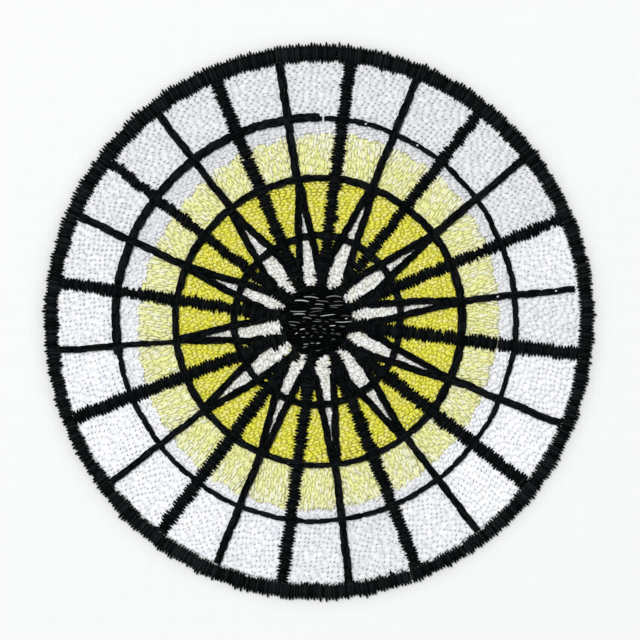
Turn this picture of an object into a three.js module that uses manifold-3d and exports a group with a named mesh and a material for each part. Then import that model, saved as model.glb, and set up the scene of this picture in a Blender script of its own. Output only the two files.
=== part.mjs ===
// A wheel window embroidered by machine on plain-woven cotton, lying flat on its underside.
// Millimetres, +Z up. The origin is under the middle of the cloth, on its underside.
import * as THREE from 'three';
import { mergeVertices } from 'three/addons/utils/BufferGeometryUtils.js';
import Module from 'manifold-3d';

const wasm = await Module();
wasm.setup();

// The cloth, and the wheel's centre as seen from the middle of the cloth.
const clothSide = 76.8;
const clothThickness = 0.3;
const wheelCentre = [-0.12, -0.25];

// Stitching heights: a fill above the cloth, a line above the fill, and a line above one it crosses.
const fillThickness = 0.3;
const lineHeight = 0.35;
const crossingRise = 0.25;
const borderPadding = 0.1;

// How much narrower a line is on top than where it lies on the fill.
const lineCrownShare = 0.65;

// Clearance between one thread's stitching and the next, on each side of a line that another one crosses,
// and how far the rise to a crossing runs.
const threadGap = 0.05;
const crossingClearance = 0.15;
const humpRun = 0.2;

// The satin border: a round inner edge, a slightly taller outer one, and stitch ends as teeth outside.
const borderInnerRadius = 31.4;
const borderOuterRadiusX = 32.95;
const borderOuterRadiusY = 33.28;
const borderTeeth = 96;
const borderToothDepth = 0.3;

// The three stitched rings: each centre from the wheel's centre, its radius and its line's width.
const outerRing = { centre: [-0.36, 0.31], radius: 24.1, width: 0.67 };
const middleRing = { centre: [0, 0], radius: 17.2, width: 0.89 };
const innerRing = { centre: [-0.13, 0.16], radius: 10.05, width: 0.9 };

// The hub, which sits a little left of the wheel's centre.
const hubCentre = [-0.37, 0.05];
const hubRadius = 3.7;

// Spokes: a thin one and a thick one in each twelfth of the wheel. The wheel was drawn freehand, so each
// spoke leans a little off its even place, by these degrees at the border and at the middle ring.
const firstThinSpokeAngle = 7.5;
const firstThickSpokeAngle = 22.5;
const thinSpokeWidth = 0.86;
const thickSpokeWidth = 1.35;
const thinLeanAtBorder = [-0.2, 1, 0.6, 1.3, 0.2, -1.3, -1.3, 0.1, -0.5, -0.9, -0.3, -0.3];
const thinLeanAtRing = [1.2, -0.1, 0.9, 1.3, 0.3, -0.4, 0.1, 0, -1.4, -0.9, -0.5, -1];
const thickLeanAtBorder = [0.7, 0.1, 0.6, 0.7, 0.1, -1.2, -1.1, 0.4, -0.6, -0.8, -0.6, 0.4];
const thickLeanAtRing = [1.1, 0.5, 1, 1.5, 0.5, -1.3, -0.6, 0.2, -1, -0.5, -0.7, 0.5];

// The first thin spoke stops short of the border.
const firstSpokeShortfall = 0.5;

// The star: each ray is a dagger with its tip near the middle ring, its shoulders about half way in and
// its root at the hub. The rays were drawn freehand too, so each has its own width at the shoulders.
const rayTipRadius = 16.8;
const rayShoulderDistance = 7.9;
const rayRootDistance = 4.9;
const rayRootHalfWidth = 1.1;
const rayHubHalfWidth = 0.85;
const rayShoulderHalfWidths = [1, 1.3, 1.3, 1, 1.5, 1.1, 1.2, 1.4, 1.2, 1, 1.3, 1.2];
const rayLineWidth = 0.92;
const rayFillInset = 0.2;

// The pale yellow band's outer edge is an ellipse that leans, and its stitches end raggedly.
const paleYellowLongRadius = 22.6;
const paleYellowShortRadius = 21.4;
const paleYellowLean = 70;
const raggedTeeth = 48;
const raggedDepth = 0.35;

// How finely the round edges are divided.
const roundSides = 48;

const fillBottom = clothThickness;
const lineBottom = fillBottom + fillThickness;
const lineTop = lineBottom + lineHeight;
const crossingTop = lineTop + crossingRise;
const borderTop = lineTop + borderPadding;
const belowAll = -clothThickness;
const aboveAll = crossingTop + clothThickness;
const rayCount = rayShoulderHalfWidths.length;
const sectorAngle = 360 / rayCount;

const cotton = new THREE.MeshStandardMaterial({ color: 0xf6f6f4, roughness: 0.9, metalness: 0 });
const whiteThread = new THREE.MeshStandardMaterial({ color: 0xe6e8eb, roughness: 0.45, metalness: 0 });
const creamThread = new THREE.MeshStandardMaterial({ color: 0xdcdfdb, roughness: 0.45, metalness: 0 });
const paleYellowThread = new THREE.MeshStandardMaterial({ color: 0xdee0a1, roughness: 0.45, metalness: 0 });
const goldThread = new THREE.MeshStandardMaterial({ color: 0xcfcc54, roughness: 0.45, metalness: 0 });
const blackThread = new THREE.MeshStandardMaterial({ color: 0x111516, roughness: 0.5, metalness: 0 });

function fromWheel(offset) {
  return [wheelCentre[0] + offset[0], wheelCentre[1] + offset[1]];
}

function onCircle(centre, radius, degrees) {
  const angle = THREE.MathUtils.degToRad(degrees);
  return [centre[0] + radius * Math.cos(angle), centre[1] + radius * Math.sin(angle)];
}

function distanceBetween(from, to) {
  return Math.hypot(to[0] - from[0], to[1] - from[1]);
}

function direction(from, to) {
  const length = distanceBetween(from, to);
  return [(to[0] - from[0]) / length, (to[1] - from[1]) / length];
}

function moved(point, along, distance) {
  return [point[0] + along[0] * distance, point[1] + along[1] * distance];
}

// The point of an endless line that lies nearest to another point.
function nearestOn(line, point) {
  const along = direction(line[0], line[1]);
  const distance = (point[0] - line[0][0]) * along[0] + (point[1] - line[0][1]) * along[1];
  return moved(line[0], along, distance);
}

// Where a line that runs outwards crosses a ring.
function crossing(line, ring) {
  const nearest = nearestOn(line, ring.centre);
  const aside = distanceBetween(nearest, ring.centre);
  return moved(nearest, direction(line[0], line[1]), Math.sqrt(ring.radius ** 2 - aside ** 2));
}

// A solid for cutting and joining, from a closed mesh: only its positions, with shared corners merged.
function solid(geometry) {
  geometry.deleteAttribute('normal');
  geometry.deleteAttribute('uv');
  const merged = mergeVertices(geometry);
  const mesh = new wasm.Mesh({
    numProp: 3,
    vertProperties: new Float32Array(merged.attributes.position.array),
    triVerts: new Uint32Array(merged.index.array),
  });
  return new wasm.Manifold(mesh);
}

function toGeometry(body) {
  const mesh = body.getMesh();
  const geometry = new THREE.BufferGeometry();
  geometry.setAttribute('position', new THREE.BufferAttribute(new Float32Array(mesh.vertProperties), 3));
  geometry.setIndex(new THREE.BufferAttribute(new Uint32Array(mesh.triVerts), 1));
  geometry.computeVertexNormals();
  return geometry;
}

function joined(bodies) {
  return bodies.reduce((whole, body) => whole.add(body));
}

function shape(points) {
  return new THREE.Shape(points.map(([x, y]) => new THREE.Vector2(x, y)));
}

// A flat plate with the given outline.
function plate(points, bottom, top) {
  const geometry = new THREE.ExtrudeGeometry(shape(points), { depth: top - bottom, bevelEnabled: false });
  geometry.translate(0, 0, bottom);
  return solid(geometry);
}

// A round plate, or one whose radius is a function of the angle in degrees.
function roundPlate(centre, radius, bottom, top, sides = roundSides) {
  const radiusAt = typeof radius === 'function' ? radius : () => radius;
  const angles = Array.from({ length: sides }, (_, i) => (360 * i) / sides);
  return plate(angles.map((angle) => onCircle(centre, radiusAt(angle), angle)), bottom, top);
}

// All the space inside a circle, for trimming.
function inside(centre, radius) {
  return roundPlate(centre, radius, belowAll, aboveAll);
}

// The cross-section of a line of stitches: broad on the fill below and narrower on top.
function lineSection(width, bottom, top) {
  const half = width / 2;
  const crown = half * lineCrownShare;
  return [[-half, bottom], [half, bottom], [crown, top], [-crown, top]];
}

// A round line of stitches.
function roundLine(centre, radius, width, bottom, top) {
  const section = lineSection(width, bottom, top);
  const profile = [...section, section[0]].map(([x, z]) => new THREE.Vector2(radius + x, z));
  const geometry = new THREE.LatheGeometry(profile, roundSides);
  geometry.rotateX(Math.PI / 2);
  geometry.translate(centre[0], centre[1], 0);
  return solid(geometry);
}

const rings = {
  outer_ring: { ...outerRing, centre: fromWheel(outerRing.centre) },
  middle_ring: { ...middleRing, centre: fromWheel(middleRing.centre) },
  inner_ring: { ...innerRing, centre: fromWheel(innerRing.centre) },
};
const hubPlace = fromWheel(hubCentre);
const insideHub = inside(hubPlace, hubRadius + threadGap);

// A straight line of stitches, which rises where it passes over the rings that it crosses. Its side view is
// extruded across its width, and drawn in towards its top.
function straightLine(from, to, width, crossedRings = []) {
  const length = distanceBetween(from, to);
  const spans = crossedRings.map((ring) => {
    const middle = distanceBetween(from, crossing([from, to], ring));
    const reach = ring.width / 2 + crossingClearance;
    return [middle - reach, middle + reach];
  });
  spans.sort((a, b) => a[0] - b[0]);
  const ringTop = lineTop + threadGap;
  const under = spans.flatMap(([a, b]) => [[a, lineBottom], [a, ringTop], [b, ringTop], [b, lineBottom]]);
  const over = spans.flatMap(([a, b]) => [
    [a - humpRun, lineTop],
    [a, crossingTop],
    [b, crossingTop],
    [b + humpRun, lineTop],
  ]);
  const side = [[0, lineBottom], ...under, [length, lineBottom], [length, lineTop], ...over.reverse(), [0, lineTop]];
  const geometry = new THREE.ExtrudeGeometry(shape(side), { depth: width, bevelEnabled: false });
  geometry.translate(0, 0, -width / 2);
  const corners = geometry.attributes.position;
  for (let i = 0; i < corners.count; i += 1) {
    const height = (corners.getY(i) - lineBottom) / lineHeight;
    corners.setZ(i, corners.getZ(i) * (1 - (1 - lineCrownShare) * height));
  }
  const [x, y] = direction(from, to);
  const along = new THREE.Vector3(x, y, 0);
  const up = new THREE.Vector3(0, 0, 1);
  const across = new THREE.Vector3(y, -x, 0);
  geometry.applyMatrix4(new THREE.Matrix4().makeBasis(along, up, across));
  geometry.translate(from[0], from[1], 0);
  return solid(geometry);
}

// Each spoke's line, from the middle ring to the border.
function spokeLines(firstAngle, leanAtRing, leanAtBorder) {
  return leanAtRing.map((lean, i) => {
    const evenAngle = firstAngle + i * sectorAngle;
    const inner = onCircle(wheelCentre, middleRing.radius, evenAngle + lean);
    const outer = onCircle(wheelCentre, borderInnerRadius, evenAngle + leanAtBorder[i]);
    return [inner, outer];
  });
}

const thinLines = spokeLines(firstThinSpokeAngle, thinLeanAtRing, thinLeanAtBorder);
const thickLines = spokeLines(firstThickSpokeAngle, thickLeanAtRing, thickLeanAtBorder);

const borderEdge = { centre: wheelCentre, radius: borderInnerRadius - threadGap };
const hubEdge = { centre: hubPlace, radius: hubRadius + threadGap };

function thickSpoke(line) {
  return straightLine(crossing(line, hubEdge), crossing(line, borderEdge), thickSpokeWidth, Object.values(rings));
}

function thinSpoke(line, index) {
  const ring = rings.middle_ring;
  const ringEdge = { centre: ring.centre, radius: ring.radius + ring.width / 2 + threadGap };
  const shortfall = index === 0 ? firstSpokeShortfall : 0;
  const to = moved(crossing(line, borderEdge), direction(line[0], line[1]), -shortfall);
  return straightLine(crossing(line, ringEdge), to, thinSpokeWidth, [rings.outer_ring]);
}

// The space of a thick spoke, with the gap that its neighbours keep, over all heights.
function thickSpokeSpace(line) {
  const from = nearestOn(line, hubPlace);
  const [x, y] = direction(line[0], line[1]);
  const half = thickSpokeWidth / 2 + threadGap;
  const left = [-y, x];
  const corners = [[from, -half], [line[0], -half], [line[0], half], [from, half]];
  return plate(corners.map(([point, distance]) => moved(point, left, distance)), belowAll, aboveAll);
}

// One side of a ray, from the hub to the tip, as places along and across the ray's axis. An inset draws
// the side in towards the axis and the tip back with it.
function raySide(index, inset) {
  const tip = onCircle(wheelCentre, rayTipRadius, firstThinSpokeAngle + index * sectorAngle + thinLeanAtRing[index]);
  const tipDistance = distanceBetween(hubPlace, tip);
  const shoulder = rayShoulderHalfWidths[index];
  const tipInset = (inset * (tipDistance - rayShoulderDistance)) / shoulder;
  const along = direction(hubPlace, tip);
  const across = [-along[1], along[0]];
  const places = [
    [hubRadius / 2, rayHubHalfWidth - inset],
    [rayRootDistance, rayRootHalfWidth - inset],
    [rayShoulderDistance, shoulder - inset],
    [tipDistance - tipInset, 0],
  ];
  return (side) => places.map(([distance, half]) => moved(moved(hubPlace, along, distance), across, side * half));
}

// The space inside a ray's outline, drawn in by the inset.
function rayPlate(index, inset, bottom, top) {
  const side = raySide(index, inset);
  return plate([...side(-1), ...side(1).slice(0, -1).reverse()], bottom, top);
}

function rayFill(index) {
  return rayPlate(index, rayFillInset, fillBottom, lineBottom).subtract(insideHub);
}

// The line sewn round a ray, from the hub up one side to the tip and down the other. The thick spokes on
// both sides of the ray, the hub and the middle ring trim it.
function starOutline(index) {
  const side = raySide(index, 0);
  const halves = [-1, 1].flatMap((sign) => {
    const [, root, shoulder, tip] = side(sign);
    const lap = moved(shoulder, direction(root, shoulder), rayLineWidth / 4);
    return [straightLine(root, lap, rayLineWidth), straightLine(shoulder, tip, rayLineWidth, [rings.inner_ring])];
  });
  const spokeSpaces = [index, (index + rayCount - 1) % rayCount].map((i) => thickSpokeSpace(thickLines[i]));
  const ring = rings.middle_ring;
  const insideRing = inside(ring.centre, ring.radius - ring.width / 2 - threadGap);
  const trimmed = joined(halves).intersect(insideRing).subtract(insideHub);
  return spokeSpaces.reduce((body, space) => body.subtract(space), trimmed);
}

// The pale yellow band's ragged outer radius at an angle, with its stitch ends alternately long and short.
function raggedRadius(angle) {
  const turn = THREE.MathUtils.degToRad(2 * (angle - paleYellowLean));
  const mean = (paleYellowLongRadius + paleYellowShortRadius) / 2;
  const stretch = ((paleYellowLongRadius - paleYellowShortRadius) / 2) * Math.cos(turn);
  const long = Math.round((angle / 360) * 2 * raggedTeeth) % 2;
  return mean + stretch + (long - 0.5) * raggedDepth;
}

function insideRagged(grow, bottom, top) {
  return roundPlate(wheelCentre, (angle) => raggedRadius(angle) + grow, bottom, top, 2 * raggedTeeth);
}

function outerWhiteFill() {
  const whole = roundPlate(wheelCentre, borderInnerRadius - threadGap, fillBottom, lineBottom);
  return whole.subtract(inside(rings.outer_ring.centre, rings.outer_ring.radius + threadGap / 2));
}

function innerWhiteFill() {
  const whole = roundPlate(rings.outer_ring.centre, rings.outer_ring.radius - threadGap / 2, fillBottom, lineBottom);
  return whole.subtract(insideRagged(threadGap, belowAll, aboveAll));
}

function paleYellowFill() {
  const whole = insideRagged(0, fillBottom, lineBottom);
  return whole.subtract(inside(rings.middle_ring.centre, rings.middle_ring.radius + threadGap / 2));
}

function goldFill() {
  const ring = rings.middle_ring;
  const whole = roundPlate(ring.centre, ring.radius - threadGap / 2, fillBottom, lineBottom).subtract(insideHub);
  const raySpaces = rayShoulderHalfWidths.map((_, i) => rayPlate(i, rayFillInset - threadGap, belowAll, aboveAll));
  return raySpaces.reduce((body, space) => body.subtract(space), whole);
}

// The border's outer radius at an angle: an ellipse.
function borderOuterRadius(angle) {
  const turn = THREE.MathUtils.degToRad(angle);
  return 1 / Math.hypot(Math.cos(turn) / borderOuterRadiusX, Math.sin(turn) / borderOuterRadiusY);
}

// The border: toothed stitch ends on the cloth, and above them the crowned satin column.
function border() {
  const width = (borderOuterRadiusX + borderOuterRadiusY) / 2 - borderInnerRadius;
  const toothed = (angle) => {
    const long = Math.round((angle / 360) * 2 * borderTeeth) % 2;
    return borderOuterRadius(angle) + (long - 0.5) * borderToothDepth;
  };
  const teethTop = fillBottom + fillThickness;
  const teeth = roundPlate(wheelCentre, toothed, fillBottom, teethTop, 2 * borderTeeth);
  const crownInset = width * 0.28;
  const crown = roundPlate(wheelCentre, (angle) => borderOuterRadius(angle) - crownInset, fillBottom, borderTop);
  const column = roundPlate(wheelCentre, borderOuterRadius, fillBottom, (teethTop + borderTop) / 2);
  return joined([teeth, column, crown]).subtract(inside(wheelCentre, borderInnerRadius));
}

// The hub: a low dome of satin stitches.
function hub() {
  const profile = [[0, fillBottom], [hubRadius, fillBottom], [hubRadius, lineTop - crossingRise / 2]];
  const dome = [[hubRadius * 0.7, crossingTop - crossingRise / 4], [0, crossingTop]];
  const points = [...profile, ...dome].map(([x, z]) => new THREE.Vector2(x, z));
  const geometry = new THREE.LatheGeometry(points, roundSides / 2);
  geometry.rotateX(Math.PI / 2);
  geometry.translate(hubPlace[0], hubPlace[1], 0);
  return solid(geometry);
}

function groundCloth() {
  const half = clothSide / 2;
  return plate([[-half, -half], [half, -half], [half, half], [-half, half]], 0, clothThickness);
}

const group = new THREE.Group();

function addPiece(name, body, material) {
  const mesh = new THREE.Mesh(toGeometry(body), material);
  mesh.name = name;
  group.add(mesh);
}

function numbered(name, index) {
  return `${name}_${String(index + 1).padStart(2, '0')}`;
}

addPiece('ground_cloth', groundCloth(), cotton);
addPiece('outer_white_fill', outerWhiteFill(), whiteThread);
addPiece('inner_white_fill', innerWhiteFill(), whiteThread);
addPiece('pale_yellow_fill', paleYellowFill(), paleYellowThread);
addPiece('gold_fill', goldFill(), goldThread);
for (const [name, ring] of Object.entries(rings)) {
  addPiece(name, roundLine(ring.centre, ring.radius, ring.width, lineBottom, lineTop), blackThread);
}
for (let i = 0; i < rayCount; i += 1) {
  addPiece(numbered('ray_fill', i), rayFill(i), creamThread);
  addPiece(numbered('star_outline', i), starOutline(i), blackThread);
  addPiece(numbered('thin_spoke', i), thinSpoke(thinLines[i], i), blackThread);
  addPiece(numbered('thick_spoke', i), thickSpoke(thickLines[i]), blackThread);
}
addPiece('hub', hub(), blackThread);
addPiece('border', border(), blackThread);

export default group;
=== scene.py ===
"""A wheel window embroidered by machine on plain-woven cotton, with every stitch a strand of its own."""
import math
import typing

import bpy
import numpy as np
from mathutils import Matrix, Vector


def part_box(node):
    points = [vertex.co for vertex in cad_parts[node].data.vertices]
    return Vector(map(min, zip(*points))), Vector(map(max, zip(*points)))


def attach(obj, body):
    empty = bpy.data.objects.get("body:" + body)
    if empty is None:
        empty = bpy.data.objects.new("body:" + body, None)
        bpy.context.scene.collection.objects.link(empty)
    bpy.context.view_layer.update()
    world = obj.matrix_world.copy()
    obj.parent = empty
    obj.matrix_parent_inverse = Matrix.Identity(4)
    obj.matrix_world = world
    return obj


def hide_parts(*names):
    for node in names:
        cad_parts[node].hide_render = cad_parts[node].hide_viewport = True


bl_info = {
    "name": "Embroidered wheel window",
    "version": (1, 0, 0),
    "blender": (4, 5, 0),
    "location": "3D View > Sidebar > Embroidery",
    "description": "Builds a cotton square with a wheel window in fill, satin and running stitches",
    "category": "Add Mesh",
}

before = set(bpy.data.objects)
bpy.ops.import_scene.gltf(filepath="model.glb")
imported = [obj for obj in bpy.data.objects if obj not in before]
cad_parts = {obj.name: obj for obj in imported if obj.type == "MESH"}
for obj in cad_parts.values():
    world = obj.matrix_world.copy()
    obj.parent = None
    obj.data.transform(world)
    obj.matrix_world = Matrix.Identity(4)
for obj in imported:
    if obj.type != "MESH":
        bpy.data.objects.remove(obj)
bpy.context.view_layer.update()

MM = 0.001
RAYS = 12

# Each piece draws its random numbers from this seed plus a number of its own.
SEED = 40


def linear(hex_colour):
    """An sRGB hex colour as the linear red, green and blue that the shaders take."""
    channels = [((hex_colour >> shift) & 255) / 255 for shift in (16, 8, 0)]
    return tuple(c / 12.92 if c <= 0.04045 else ((c + 0.055) / 1.055) ** 2.4 for c in channels)


def length_property(name, description, millimetres):
    return bpy.props.FloatProperty(
        name=name, description=description, default=millimetres * MM, min=0, precision=5, unit="LENGTH"
    )


def colour_property(name, description, hex_colour):
    default = linear(hex_colour)
    return bpy.props.FloatVectorProperty(
        name=name, description=description, default=default, size=3, min=0, max=1, subtype="COLOR"
    )


class ThreadSettings(bpy.types.PropertyGroup):
    """The embroidery thread and how it is sewn."""

    width: length_property("Thread width", "Width of one flattened strand", 0.36)
    thickness: length_property("Thread thickness", "Height of one flattened strand", 0.24)
    ply_turn: length_property("Ply turn", "Length in which the two plies turn once round each other", 1.1)
    row: length_property("Fill row", "Distance between two rows of a fill", 0.34)
    satin_tooth: length_property("Satin tooth", "Distance between two holes on one side of satin", 0.36)
    fill_width: length_property("Fill thread width", "Width of one strand that lies in a fill", 0.43)
    running_stitch: length_property("Running stitch", "Length of one stitch of a running line", 1.7)


class ClothSettings(bpy.types.PropertyGroup):
    """The plain-woven cotton."""

    # Such cotton has a thread about every 0.25 mm, which is too fine to show, so it is drawn coarser.
    thread_spacing: length_property("Thread spacing", "Distance between two threads of the weave", 0.36)
    grid: bpy.props.IntProperty(
        name="Grid", description="Squares along one side of the cloth", default=150, min=8
    )


class ColourSettings(bpy.types.PropertyGroup):
    """The colours of the cloth and of the threads."""

    cotton: colour_property("Cotton", "The woven ground", 0xEAEBEA)
    white: colour_property("White", "The white fills", 0xF5F6F7)
    white_other: colour_property("Second white", "Where the white thread turns grey", 0xE8EBF0)
    cream: colour_property("Cream", "The fill of the rays", 0xF5F6F3)
    cream_other: colour_property("Second cream", "Where the cream thread turns yellow", 0xE2E4D4)
    pale_yellow: colour_property("Pale yellow", "The band outside the middle ring", 0xF0F1A0)
    pale_yellow_other: colour_property("Second pale yellow", "Where the pale thread turns white", 0xF2F3D6)
    gold: colour_property("Gold", "The fill round the star", 0xEEEA44)
    gold_other: colour_property("Second gold", "Where the gold thread turns lighter", 0xF6F08A)
    black: colour_property("Black", "All the lines", 0x030607)
    # Painted sheen: black strands are mixed towards this grey as if they caught the light.
    black_other: colour_property("Second black", "Where the black thread catches the light", 0x26292B)
    bobbin: colour_property("Bobbin", "Bobbin thread drawn up between black stitches", 0xE4E6E8)


def settings():
    return bpy.context.scene.embroidery_threads


def colours():
    return bpy.context.scene.embroidery_colours


# Places that come from the frame


def node_points(node):
    """All the corners of a solid, in metres."""
    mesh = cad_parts[node].data
    points = np.empty(len(mesh.vertices) * 3)
    mesh.vertices.foreach_get("co", points)
    return points.reshape(-1, 3)


def foot_points(node):
    """The corners of a solid's underside, in the plane."""
    points = node_points(node)
    return points[points[:, 2] < points[:, 2].min() + 0.01 * MM][:, :2]


def numbered(name, index):
    return f"{name}_{index % RAYS + 1:02d}"


def unit(vector):
    return vector / np.linalg.norm(vector)


def sideways(vector):
    return np.array([-vector[1], vector[0]])


def circle_of(node):
    """Centre, inner radius and outer radius of a ring's solid, at its foot."""
    foot = foot_points(node)
    centre = (foot.min(0) + foot.max(0)) / 2
    radii = np.linalg.norm(foot - centre, axis=1)
    return centre, radii.min(), radii.max()


def line_of(node):
    """The two ends of a spoke's solid, inner end first, and its width."""
    foot = np.unique(np.round(foot_points(node), 7), axis=0)
    order = np.argsort(np.linalg.norm(foot - WHEEL, axis=1))
    inner, outer = foot[order[:2]], foot[order[-2:]]
    return inner.mean(0), outer.mean(0), np.linalg.norm(inner[0] - inner[1])


def underside_edges(node):
    """The edges round a plate's underside, as pairs of points in the plane."""
    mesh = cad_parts[node].data
    keys = {}
    edges = {}
    for polygon in mesh.polygons:
        if polygon.normal.z > -0.9:
            continue
        ids = []
        for vertex in polygon.vertices:
            place = tuple(round(value, 7) for value in mesh.vertices[vertex].co[:2])
            ids.append(keys.setdefault(place, len(keys)))
        for first, second in zip(ids, ids[1:] + ids[:1]):
            pair = (min(first, second), max(first, second))
            edges[pair] = edges.get(pair, 0) + 1
    places = np.array(list(keys))
    return np.array([places[list(pair)] for pair, count in edges.items() if count == 1])


WHEEL = circle_of("border")[0]
HUB, _, HUB_RADIUS = circle_of("hub")
CLOTH_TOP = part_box("ground_cloth")[1].z
FILL_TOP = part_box("gold_fill")[1].z
LINE_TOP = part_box("middle_ring")[1].z
CROSSING_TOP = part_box("thick_spoke_01")[1].z
LINE_CENTRE = (FILL_TOP + LINE_TOP) / 2
CROSSING_RISE = CROSSING_TOP - LINE_TOP


# Strands

# How far a strand dips into its needle holes.
HOLE_SINK = 0.12 * MM


class Stitches:
    """A list of straight stitches, each from one needle hole to another."""

    def __init__(self):
        self.rows = []

    def add(self, start, end, height, rise, width, thickness, bow=0.0, shade=1.0, tone=0.0, bobbin=0):
        self.rows.append((*start, *end, height, rise, width, thickness, bow, shade, tone, bobbin))

    def arrays(self):
        return np.array(self.rows)


def begin(seed):
    """A piece's own random numbers, and an empty list for its stitches."""
    return np.random.default_rng(SEED + seed), Stitches()


def either_way(rng, most, count=None):
    """One or more random lengths of up to so many mm either way."""
    return rng.uniform(-most, most, count) * MM


def strand_piece(name, stitches, materials, rng, rings=5, sides=6, point=0.6):
    """One mesh in which each stitch is a closed strand that arches up between its two needle holes.

    A strand has the given number of rings and sides, and narrows to the share called point at its ends.
    """
    rows = stitches.arrays()
    start, end = rows[:, None, 0:2], rows[:, None, 2:4]
    height, rise, width, thickness, bow, shade, tone = (rows[:, None, column] for column in range(4, 11))
    share = 0.5 - 0.5 * np.cos(np.pi * np.linspace(0, 1, rings)[None, :])
    arch = 1 - np.abs(2 * share - 1) ** 5
    taper = point + (1 - point) * arch
    length = np.linalg.norm(end - start, axis=2)
    along = (end - start) / length[..., None]
    across = np.stack([-along[..., 1], along[..., 0]], axis=2)
    middle = start + (end - start) * share[..., None] + across * (bow * np.sin(np.pi * share))[..., None]
    level = height - HOLE_SINK * (1 - arch) + rise * np.sin(np.pi * share)
    turns = np.arange(sides) / sides * 2 * np.pi - np.pi / 2
    out = (width / 2 * taper)[..., None] * np.cos(turns)
    up = (thickness / 2 * taper)[..., None] * np.sin(turns)
    flat = middle[:, :, None, :] + across[:, :, None, :] * out[..., None]
    points = np.concatenate([flat, (level[..., None] + up)[..., None]], axis=3).reshape(-1, 3)

    count = len(rows)
    ring, side = np.meshgrid(np.arange(rings - 1), np.arange(sides), indexing="ij")
    following = (side + 1) % sides
    near, far = ring * sides, (ring + 1) * sides
    quad = np.stack([near + side, near + following, far + following, far + side], axis=2).reshape(-1, 4)
    first = np.arange(count)[:, None] * rings * sides
    cap = np.arange(sides)
    faces = (quad[None] + first[:, None]).reshape(-1, 4).tolist()
    faces += (first + cap[::-1]).tolist() + (first + cap + (rings - 1) * sides).tolist()
    mesh = bpy.data.meshes.new(name)
    mesh.from_pydata(points.tolist(), [], faces)
    mesh.polygons.foreach_set("use_smooth", np.ones(len(mesh.polygons), bool))
    drawn_up = rows[:, 11].astype(np.int32)
    indices = np.concatenate([np.repeat(drawn_up, len(quad)), drawn_up, drawn_up])
    for material in materials:
        mesh.materials.append(material)
    mesh.polygons.foreach_set("material_index", indices)

    place = length * share + rng.uniform(0, 1 * MM, (count, 1))
    shape = (count, rings, sides)
    facts = {
        "along": place[..., None],
        "around": turns,
        "shade": shade[..., None],
        "tone": tone[..., None],
        "arch": arch[..., None],
    }
    for fact, values in facts.items():
        spread = np.broadcast_to(values, shape).ravel().astype(np.float32)
        mesh.attributes.new(fact, "FLOAT", "POINT").data.foreach_set("value", spread)
    piece = bpy.data.objects.new(name, mesh)
    bpy.context.scene.collection.objects.link(piece)
    return piece


def finish_piece(piece, slot, *nodes):
    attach(piece, "root")
    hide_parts(*nodes)
    return piece


# Fills


def row_spans(edges, lay, spacing, sector):
    """Each row of a fill that lies inside the edges and the sector, as its level, start and end."""
    along = np.array([math.cos(lay), math.sin(lay)])
    across = sideways(along)
    depth = edges @ across
    reach = edges @ along
    for level in np.arange(depth.min() + spacing / 2, depth.max(), spacing):
        crossed = (depth[:, 0] < level) != (depth[:, 1] < level)
        share = (level - depth[crossed, 0]) / (depth[crossed, 1] - depth[crossed, 0])
        places = np.sort(reach[crossed, 0] + share * (reach[crossed, 1] - reach[crossed, 0]))
        least, most = sector_reach(sector, along, across, level)
        for start, end in zip(places[0::2], places[1::2]):
            if min(end, most) > max(start, least):
                yield along, across, level, max(start, least), min(end, most)


def sector_reach(sector, along, across, level):
    """How far a row runs inside a sector, which is two half planes as inward normals and distances."""
    least, most = -math.inf, math.inf
    for normal, distance in sector:
        slope = along @ normal
        limit = (distance - level * (across @ normal)) / slope
        if slope > 0:
            least = max(least, limit)
        else:
            most = min(most, limit)
    return least, most


def sector_between(first, second):
    """The sector from one spoke's line anticlockwise to the next one's."""
    planes = []
    for (inner, outer, _), sign in ((first, 1), (second, -1)):
        normal = sign * sideways(unit(outer - inner))
        planes.append((normal, inner @ normal))
    return planes


# How far a row's needle holes stray and keep from its ends, as shares of a stitch, how far they drift
# sideways in mm, and the shortest rows that are sewn.
HOLE_STRAY = 0.3
HOLE_MARGIN = 0.3
ROW_DRIFT = 0.11
SHORTEST_ROW = 0.2 * MM
SHORTEST_UNDERLAY = 0.4 * MM

# How high a fill's strands lie as a share of their thickness, and the ranges of their rise in mm and of
# their width and shade beside the usual ones, and how far they bow sideways in mm.
FILL_LEVEL = 0.6
FILL_RISES = (0.0, 0.05)
FILL_WIDTHS = (0.9, 1.08)
FILL_SHADES = (0.93, 1.05)
FILL_BOW = 0.04

# The underlay's rows, how far its strands lap, how much darker than the fill's they are painted as shade
# under the rows, and how high and how thick they are as shares of the thread's thickness.
UNDERLAY_ROW = 0.45 * MM
UNDERLAY_LAP = 1.15
UNDERLAY_PAINTED_SHADE = 0.96
UNDERLAY_LEVEL = 0.2
UNDERLAY_THICKNESS = 0.5


def sew_underlay(stitches, edges, lay, sector, shade):
    """Flat strands across the rows of a fill, under them, so that no cloth shows between the rows."""
    thread = settings()
    for along, across, level, start, end in row_spans(edges, lay + math.pi / 2, UNDERLAY_ROW, sector):
        if end - start > SHORTEST_UNDERLAY:
            stitches.add(
                along * start + across * level,
                along * end + across * level,
                CLOTH_TOP + thread.thickness * UNDERLAY_LEVEL,
                0,
                UNDERLAY_ROW * UNDERLAY_LAP,
                thread.thickness * UNDERLAY_THICKNESS,
                # Painted shade: the underlay is darker than the fill above it.
                shade=UNDERLAY_PAINTED_SHADE * shade,
            )


class FillStyle(typing.NamedTuple):
    """The length of a fill's stitches, how raggedly its rows end, how high its strands stand, how far apart
    its rows lie and how far its strands lap over each other as shares of the usual ones, how blunt the
    strands are, how light the fill is, how much painted shade darkens it where its rows lie level, as if
    they caught less light, and how much the thread turns into its second colour between two distances from
    the wheel's centre."""

    stitch: float
    ragged: float = 0.12 * MM
    relief: float = 1.0
    spread: float = 1.0
    lap: float = 1.0
    point: float = 0.6
    shade: float = 1.0
    level_painted_shade: float = 0.0
    fading: float = 0.0
    fading_reach: tuple = (0.0, 1.0)


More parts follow.
